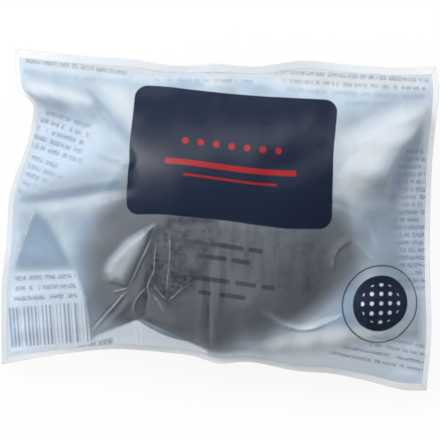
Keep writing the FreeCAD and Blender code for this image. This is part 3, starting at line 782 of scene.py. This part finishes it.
def backFilmMaterial():
    paint = Paint("frostedBackFilm")
    spot = paint.wire("ShaderNodeTexCoord", {}, {}, "Object")
    x, y = paint.split(spot)[:2]
    x, y = x / mm, y / mm
    cloud = paint.grain(spot, 60.0, 3.0)
    speck = paint.grain(spot, 900.0, 2.0)
    ink = None
    for number, block in enumerate(backPrint["rows"]):
        part = inkRows(paint, x, y, block, number)
        ink = part if ink is None else ink.over(part)
    bars = backPrint["stripes"]
    run, down = rowPlace(x, y, bars)[:2]
    cell = run / (bars["pitch"] / pixelsPerMm)
    wide = paint.chance(cell.floor() + 0.5)
    bar = ((0.2 + wide * 0.6 - cell.part()) * 8.0).held()
    half = (bars["halfWidth"], bars["height"] / (2 * pixelsPerMm))
    bar = bar * inkBox(run, down, half, half, 0.1, 0.2)
    box = inkBox(x, y, backPrint["paleBox"]["middle"], backPrint["paleBox"]["half"], 1.0, 0.4)
    tint = paint.blend((cloud - 0.3).held() * 0.6, tones["veil"], tones["frost"])
    tint = paint.blend(box * 0.85, tint, tones["white"])
    tint = paint.blend(ink, tint, tones["ink"])
    tint = paint.blend(bar, tint, tones["bar"])
    cover = (0.33 + (cloud - 0.5) * 0.06).held().over(box * 0.45).over(ink * 0.9).over(bar * 0.75)
    rough = 0.42 + (cloud - 0.5) * 0.12
    return paint.finish({
        "Base Color": tint, "Roughness": rough, "Alpha": cover,
        "Normal": paint.bump(speck * 0.4 + cloud * 0.5, 0.08, 0.0002), "IOR": 1.5})


def sealMaterial():
    paint = Paint("fusedSeal")
    spot = paint.wire("ShaderNodeTexCoord", {}, {}, "Object")
    over = paint.split(paint.wire("ShaderNodeUVMap", {"uv_map": "film"}, {}))[1]
    rib = (over * 5.0).part()
    rib = abs(rib - 0.5) * 2.0
    cloud = paint.grain(spot, 60.0, 2.0)
    tint = paint.blend(cloud * 0.6, tones["seal"], tones["frost"])
    cover = (0.38 + (cloud - 0.5) * 0.2 + rib * 0.06).held()
    return paint.finish({
        "Base Color": tint, "Roughness": 0.34 + cloud * 0.1, "Alpha": cover,
        "Normal": paint.bump(rib, 0.06, 0.0002), "IOR": 1.5})


def spongeMaterial():
    paint = Paint("charcoalSponge")
    spot = paint.wire("ShaderNodeTexCoord", {}, {}, "Object")
    pit = paint.share("pit")
    mottle = paint.grain(spot, 160.0, 4.0, 0.6)
    fibre = paint.grain(spot, 1100.0, 3.0, 0.6)
    tint = paint.blend(((mottle - 0.42) * 3.0).held(), tones["charcoal"], tones["charcoalPale"])
    # Painted shade in the pores: the pits are painted in the darkest charcoal
    tint = paint.blend(pit.held() * 0.85, tint, tones["charcoalAndPoreShade"])
    tint = paint.blend(((fibre - 0.6) * 4.0).held() * 0.25, tint, tones["charcoalPale"])
    return paint.finish({
        "Base Color": tint, "Roughness": 0.62 - pit * 0.2 + (mottle - 0.5) * 0.2,
        "Normal": paint.bump(fibre - pit, 0.4, 0.0004)})


# Taut film held at the seam and laid over the sponge: each point settles to the mean of its neighbours
def tautLevel(across, up):
    columns, rows, rounds = film["tautColumns"], film["tautRows"], film["tautRounds"]
    netAcross = np.linspace(borders["left"], borders["right"], columns)
    netUp = np.linspace(borders["bottom"], borders["top"], rows)
    wide, tall = np.meshgrid(netAcross, netUp)
    floorLevel = spongeTop(*plan(wide, tall)) + film["spongeGap"] * mm
    level = pillowLevel(wide, tall)
    for turn in range(rounds):
        mean = (level[:-2, 1:-1] + level[2:, 1:-1] + level[1:-1, :-2] + level[1:-1, 2:]) / 4
        level[1:-1, 1:-1] = np.maximum(mean, floorLevel[1:-1, 1:-1])
    column = (across - netAcross[0]) / (netAcross[-1] - netAcross[0]) * (columns - 1)
    row = (up - netUp[0]) / (netUp[-1] - netUp[0]) * (rows - 1)
    left, low = column.astype(int).clip(0, columns - 2), row.astype(int).clip(0, rows - 2)
    right, high = column - left, row - low
    lower = level[low, left] * (1 - right) + level[low, left + 1] * right
    upper = level[low + 1, left] * (1 - right) + level[low + 1, left + 1] * right
    return lower * (1 - high) + upper * high


# Front film: pillow, drawn down on to the sponge where it sticks, then folded
def frontShape(across, up):
    x, y = plan(across, up)
    fromSeam = seamDistance(across, up)
    pillow = pillowLevel(across, up) + pouch["film"]
    taut = tautLevel(across, up) + pouch["film"]
    away = np.hypot((x - drape["x"]) / drape["halfWidth"], (y - drape["y"]) / drape["halfHeight"])
    contact = 1 - smooth(1 - drape["fade"], 1 + drape["fade"], away)
    z = taut + (pillow - taut) * (1 - contact)
    hold = smooth(0, film["seamHold"] * mm, fromSeam)
    panel = softPatch(x, y, calmPatch, film["panelFeather"] * mm)
    bends, crests = foldedBy(x, y)
    bends = bends + swellAt(x, y) * (1 - film["stuckCalm"] * contact) * (1 - film["panelCalm"] * panel)
    z = z + bends * hold + puckerAt(across, up) * hold
    top = spongeTop(x, y)
    z = np.maximum(z, np.where(top > 0, top + film["spongeGap"] * film["foldGapShare"] * mm, 0))
    backGap = film["backGap"] * mm * smooth(0, film["backGapReach"] * mm, fromSeam)
    return x, y, np.maximum(z, backLevel(across, up) + backGap), bends, crests


# The print lies a little turned on the film, and drifts with its creases and in slow waves
def printPlaces(x, y, bends):
    slopeX = np.gradient(bends, axis=1) / np.gradient(x, axis=1)
    slopeY = np.gradient(bends, axis=0) / np.gradient(y, axis=0)
    drift, turn = film["printDrift"] * mm, math.radians(film["printTurn"])
    driftX = x + drift * (np.clip(slopeX, -1, 1) + np.sin(60 * y + 0.6) * 0.8 + np.sin(95 * x) * 0.3)
    driftY = y + drift * (np.clip(slopeY, -1, 1) + np.sin(72 * x - 0.4) + np.sin(110 * x + 40 * y) * 0.4)
    printX = driftX * math.cos(turn) + driftY * math.sin(turn)
    printY = driftY * math.cos(turn) - driftX * math.sin(turn)
    return np.stack([printX.ravel(), printY.ravel(), np.zeros(x.size)], 1)


# Where the front film is clear, wet, creased and darkened by the sponge behind it, and where shade and
# highlights are painted on it; lengths in mm
frontShares = {
    "rimReach": 4.0, "rimClear": 0.6, "flapFeather": 0.5, "besideSponge": (-6.0, -1.0), "crestDry": 0.75,
    "shadeFeather": 5.0}


def storeFrontShares(mesh, x, y, crests, fromSeam):
    rim = smooth(frontShares["rimReach"] * mm, 0.0, fromSeam) * frontShares["rimClear"]
    flap = softPatch(x, y, flapPatch, frontShares["flapFeather"] * mm)
    depth = sponge["radius"] - spongeReach(x, y, 0)
    outer, inner = frontShares["besideSponge"]
    nearSponge = smooth(outer * mm, inner * mm, depth) * (1 - flap)
    storeShare(mesh, "clear", np.maximum(patchesAt(x, y, clearPatches) * (1 - nearSponge), rim))
    wet = patchesAt(x, y, wetPatches)
    # Damp film; in the flap the crests of creases are stored as damp too, so the white floor shows through
    # them as a painted highlight
    storeShare(mesh, "wet", np.maximum(wet * (1 - frontShares["crestDry"] * crests), flap * crests))
    # Crests of sharp creases, which the material paints lighter as a painted highlight
    storeShare(mesh, "crest", crests)
    lifted = patchesAt(x, y, liftedPatches)
    seen = softPatch(x, y, shadePatch, frontShares["shadeFeather"] * mm)
    storeShare(mesh, "shade", seen * (1 - lifted) * (1 - flap))
    # Painted shade in the folds, with thicker frost over pockets of air
    storeShare(mesh, "deepAndShade", patchesAt(x, y, deepAndShadedPatches))
    # Painted highlights where the film faces the light
    storeShare(mesh, "pale", patchesAt(x, y, highlightPatches))


def makeFrontFilm():
    across, up = filmNet()
    x, y, z, bends, crests = frontShape(across, up)
    mesh = gridMesh("front_film_sheet", x, y, z, False, (across, up))
    places = mesh.attributes.new("printPlace", "FLOAT_VECTOR", "POINT")
    places.data.foreach_set("vector", printPlaces(x, y, bends).ravel())
    storeFrontShares(mesh, x, y, crests, seamDistance(across, up))
    return addPiece(mesh, frontFilmMaterial())


def makeBackFilm():
    across, up = filmNet()
    x, y = plan(across, up)
    z = backLevel(across, up)
    lies, stands = film["backLift"]
    hold = smooth(0, film["seamHold"] * mm, seamDistance(across, up))
    lifted = smooth(lies * mm, stands * mm, z) * hold
    z = z + (swellAt(-x, y) * film["backSwell"] + puckerAt(1 - across, up)) * lifted
    mesh = gridMesh("back_film_sheet", x, y, np.maximum(z, 0), True, (across, up))
    return addPiece(mesh, backFilmMaterial())


# Fused bands: thin closed strips between the films' edge and the pouch's outline
bandNet = {"steps": 7, "points": 300}


def makeBand(name, innerAcross, innerUp, outerAcross, outerUp, material):
    steps = np.linspace(0, 1, bandNet["steps"])[:, None]
    across = innerAcross + (outerAcross - innerAcross) * steps
    up = innerUp + (outerUp - innerUp) * steps
    x, y = plan(across, up)
    z = seamLevel(across, up)
    along = np.broadcast_to(np.linspace(0, 1, x.shape[1]), x.shape)
    over = np.broadcast_to(steps, x.shape)
    mesh = gridMesh(name, x, y, z, False, (along, over))
    solid = bmesh.new()
    solid.from_mesh(mesh)
    bmesh.ops.recalc_face_normals(solid, faces=solid.faces)
    if sum(face.normal.z for face in solid.faces) < 0:
        bmesh.ops.reverse_faces(solid, faces=solid.faces)
    solid.to_mesh(mesh)
    solid.free()
    piece = addPiece(mesh, material)
    wall = piece.modifiers.new("wall", "SOLIDIFY")
    wall.thickness, wall.offset = 2 * pouch["film"], 0.0
    return bake(piece)


def makeBands():
    material = sealMaterial()
    full = np.linspace(0, 1, bandNet["points"])
    inAcross = borders["left"] + full * (borders["right"] - borders["left"])
    inUp = borders["bottom"] + full * (borders["top"] - borders["bottom"])
    ones = np.ones(bandNet["points"])
    return {
        "top_seal": makeBand("top_seal_band", inAcross, ones * borders["top"], full, ones, material),
        "bottom_seal": makeBand(
            "bottom_seal_band", inAcross, ones * borders["bottom"], full, ones * 0, material),
        "left_weld": makeBand("left_weld_band", ones * borders["left"], inUp, ones * 0, full, material),
        "right_weld": makeBand("right_weld_band", ones * borders["right"], inUp, ones, full, material)}


# Sponge: the solid's shape on an even mesh, with pores sunk into it by a node tree. A pore's edge and floor,
# and the patches where pores are few or many, are distances and shares that the tree's textures give
pores = {
    "voxel": 0.5 * mm, "relaxFactor": 0.5, "relaxTurns": 3,
    "Pore Scale": 620.0, "Pore Depth": 0.5 * mm, "Swell": 0.7 * mm, "Seed": 3.0,
    "hole": (0.46, 0.16), "softness": 0.25, "fineTimes": 2.3, "fineHole": (0.5, 0.2), "fineDepth": 0.45,
    "patchScale": 110.0, "patches": (0.35, 0.6), "fewest": 0.25, "swellFrom": 0.75}


def poreTree(material):
    tree = bpy.data.node_groups.new("konjacPores", "GeometryNodeTree")
    tree.interface.new_socket("Geometry", in_out="INPUT", socket_type="NodeSocketGeometry")
    names = ["Pore Scale", "Pore Depth", "Swell", "Seed"]
    sockets = {name: tree.interface.new_socket(name, in_out="INPUT", socket_type="NodeSocketFloat")
               for name in names}
    tree.interface.new_socket("Geometry", in_out="OUTPUT", socket_type="NodeSocketGeometry")

    def add(kind, settings, links):
        node = tree.nodes.new(kind)
        for name, value in settings.items():
            setattr(node, name, value)
        for name, value in links.items():
            if hasattr(value, "is_output"):
                tree.links.new(value, node.inputs[name])
            else:
                node.inputs[name].default_value = value
        return node

    def maths(operation, first, second):
        return add("ShaderNodeMath", {"operation": operation}, {0: first, 1: second}).outputs[0]

    def ranged(value, kind, ends, results):
        sockets = {"Value": value, 1: ends[0], 2: ends[1], 3: results[0], 4: results[1]}
        return add("ShaderNodeMapRange", {"interpolation_type": kind}, sockets).outputs[0]

    given = add("NodeGroupInput", {}, {}).outputs
    place = add("GeometryNodeInputPosition", {}, {}).outputs[0]
    normal = add("GeometryNodeInputNormal", {}, {}).outputs[0]
    fineScale = maths("MULTIPLY", given["Pore Scale"], pores["fineTimes"])
    cells = add("ShaderNodeTexVoronoi", {"voronoi_dimensions": "4D", "feature": "SMOOTH_F1"},
                {"Vector": place, "W": given["Seed"], "Scale": given["Pore Scale"],
                 "Smoothness": pores["softness"]})
    fine = add("ShaderNodeTexVoronoi", {"voronoi_dimensions": "4D", "feature": "F1"},
               {"Vector": place, "W": given["Seed"], "Scale": fineScale})
    blotch = add("ShaderNodeTexNoise", {"noise_dimensions": "4D"},
                 {"Vector": place, "W": given["Seed"], "Scale": pores["patchScale"], "Detail": 2.0})
    patch = blotch.outputs[0]
    hole = ranged(cells.outputs["Distance"], "SMOOTHSTEP", pores["hole"], (0.0, 1.0))
    small = ranged(fine.outputs["Distance"], "SMOOTHSTEP", pores["fineHole"], (0.0, pores["fineDepth"]))
    some = ranged(patch, "LINEAR", pores["patches"], (pores["fewest"], 1.0))
    pit = maths("MULTIPLY", maths("MAXIMUM", hole, small), some)
    swell = maths("MULTIPLY", maths("SUBTRACT", patch, pores["swellFrom"]), given["Swell"])
    depth = maths("SUBTRACT", swell, maths("MULTIPLY", pit, given["Pore Depth"]))
    depth = maths("MINIMUM", depth, 0.0)
    offset = add("ShaderNodeVectorMath", {"operation": "SCALE"}, {0: normal, "Scale": depth}).outputs[0]
    # The pit share is kept for the material, which paints shade into the pits
    stored = add("GeometryNodeStoreNamedAttribute", {"data_type": "FLOAT", "domain": "POINT"},
                 {"Geometry": given["Geometry"], "Name": "pit", "Value": pit}).outputs[0]
    moved = add("GeometryNodeSetPosition", {}, {"Geometry": stored, "Offset": offset}).outputs[0]
    whole = add("GeometryNodeRealizeInstances", {}, {"Geometry": moved}).outputs[0]
    coloured = add("GeometryNodeSetMaterial", {}, {"Geometry": whole, "Material": material}).outputs[0]
    add("NodeGroupOutput", {}, {"Geometry": coloured})
    return tree, {name: socket.identifier for name, socket in sockets.items()}


def makeSponge():
    mesh = bpy.data.meshes.new("sponge_body")
    copy = bmesh.new()
    copy.from_mesh(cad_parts["sponge"].data)
    bmesh.ops.remove_doubles(copy, verts=copy.verts, dist=1e-6)
    copy.to_mesh(mesh)
    copy.free()
    material = spongeMaterial()
    piece = addPiece(mesh, material)
    even = piece.modifiers.new("even", "REMESH")
    even.mode, even.voxel_size = "VOXEL", pores["voxel"]
    relax = piece.modifiers.new("relax", "SMOOTH")
    relax.factor, relax.iterations = pores["relaxFactor"], pores["relaxTurns"]
    tree, sockets = poreTree(material)
    sunk = piece.modifiers.new("pores", "NODES")
    sunk.node_group = tree
    for name, identifier in sockets.items():
        sunk[identifier] = pores[name]
    bake(piece)
    piece.data.shade_smooth()
    return piece


spongeBody = makeSponge()
print("sponge faces", len(spongeBody.data.polygons))
frontFilm = makeFrontFilm()
print("front film faces", len(frontFilm.data.polygons))
backFilm = makeBackFilm()
bands = makeBands()
print("films and seals made")

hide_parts("sponge")
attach(spongeBody, "sponge")
for piece, node in ((frontFilm, "front_film"), (backFilm, "back_film")):
    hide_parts(node)
    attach(piece, "pouch")
for node, piece in bands.items():
    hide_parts(node)
    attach(piece, "pouch")

# Floor: white to the camera, with a trace of the pouch's shadow
floor = {"size": 3.0, "below": 0.0002, "shadow": 0.09}


def makeFloor():
    mesh = bpy.data.meshes.new("floor")
    half, level = floor["size"] / 2, -floor["below"]
    corners = [(-half, -half, level), (half, -half, level), (half, half, level), (-half, half, level)]
    mesh.from_pydata(corners, [], [(0, 1, 2, 3)])
    paint = Paint("paleFloor")
    lit = paint.wire("ShaderNodeBsdfDiffuse", {}, {"Color": (0.9, 0.9, 0.9, 1.0)})
    glow = paint.wire("ShaderNodeEmission", {}, {"Color": (1.0, 1.0, 1.0, 1.0), "Strength": 1.0})
    ray = paint.node("ShaderNodeLightPath", {}, {})
    seen = Wire(paint, ray.outputs["Is Camera Ray"]).over(Wire(paint, ray.outputs["Is Glossy Ray"]))
    seen = seen.over(Wire(paint, ray.outputs["Is Transmission Ray"]))
    both = paint.wire("ShaderNodeMixShader", {}, {0: seen * (1 - floor["shadow"]), 1: lit, 2: glow})
    paint.node("ShaderNodeOutputMaterial", {}, {0: both})
    addPiece(mesh, paint.material)


# Lights: a large sheet past the top edge, a smaller key from the upper left, and weak ones from the right
# and from below the bottom edge
lights = {
    "top": {"place": (0.1, 1.0, 0.85), "size": 0.8, "power": 6.5},
    "key": {"place": (-0.65, 0.6, 0.75), "size": 0.5, "power": 12.0},
    "right": {"place": (0.8, 0.7, 0.65), "size": 0.45, "power": 2.0},
    "low": {"place": (0.1, -0.9, 0.8), "size": 0.6, "power": 2.2}}
ambient = 0.2


def makeLights():
    for name, light in lights.items():
        lamp = bpy.data.lights.new(name, "AREA")
        lamp.energy, lamp.size = light["power"], light["size"]
        holder = bpy.data.objects.new(name, lamp)
        holder.location = light["place"]
        holder.rotation_euler = (-Vector(light["place"])).to_track_quat("-Z", "Y").to_euler()
        scene.collection.objects.link(holder)
    world = bpy.data.worlds.new("studio")
    world.use_nodes = True
    world.node_tree.nodes["Background"].inputs["Color"].default_value = (1.0, 1.0, 1.0, 1.0)
    world.node_tree.nodes["Background"].inputs["Strength"].default_value = ambient
    scene.world = world


camera = {
    "height": 1.0, "seamHeight": 0.008, "sensor": 36.0, "across": 440 / photo["pixelsPerMetre"],
    "pictureMiddle": (220.0, 220.0)}


def makeCamera():
    lens = bpy.data.cameras.new("overhead")
    lens.sensor_width = camera["sensor"]
    lens.lens = camera["sensor"] * (camera["height"] - camera["seamHeight"]) / camera["across"]
    lens.clip_start = 0.01
    eye = bpy.data.objects.new("overhead", lens)
    middle = (np.array(camera["pictureMiddle"]) - photo["middle"]) / photo["pixelsPerMetre"]
    eye.location = (middle[0], -middle[1], camera["height"])
    scene.collection.objects.link(eye)
    scene.camera = eye


makeFloor()
makeLights()
makeCamera()
scene.view_settings.view_transform = "Standard"
print("stage, lights and camera set")
